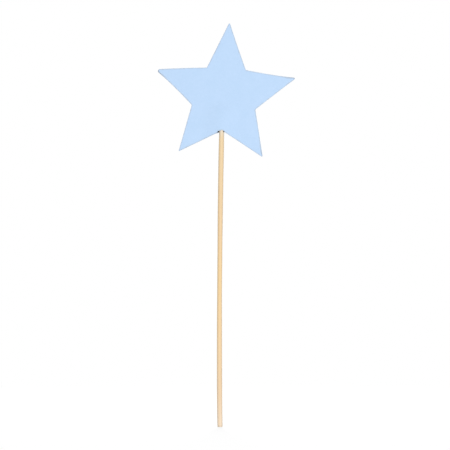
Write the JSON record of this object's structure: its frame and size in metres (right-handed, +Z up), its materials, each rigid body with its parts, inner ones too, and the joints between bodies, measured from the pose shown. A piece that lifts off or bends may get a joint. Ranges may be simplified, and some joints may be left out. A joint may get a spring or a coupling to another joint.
{
  "type": "cake topper",
  "caption": "Flat paper star with pointed arms, glued over the end of a slim round bamboo stick that is pushed into a cake and holds the star upright above it.",
  "frame": {"origin": "centre of the stick's lower cut end", "axes": "+Z up along the straight lower part of the stick, the star's front face towards -Y, +X to the right of someone who looks at that face"},
  "size_m": [0.069, 0.0032, 0.2034],
  "materials": {
    "front_card": "matte",
    "back_card": "matte",
    "bamboo": "matte",
    "glue": "satin"
  },
  "bodies": {
    "root": {"front_star": "front_card", "back_star": "back_card", "stick": "bamboo", "glue_layer": "glue", "stick_glue": "glue"}
  },
  "joints": []
}
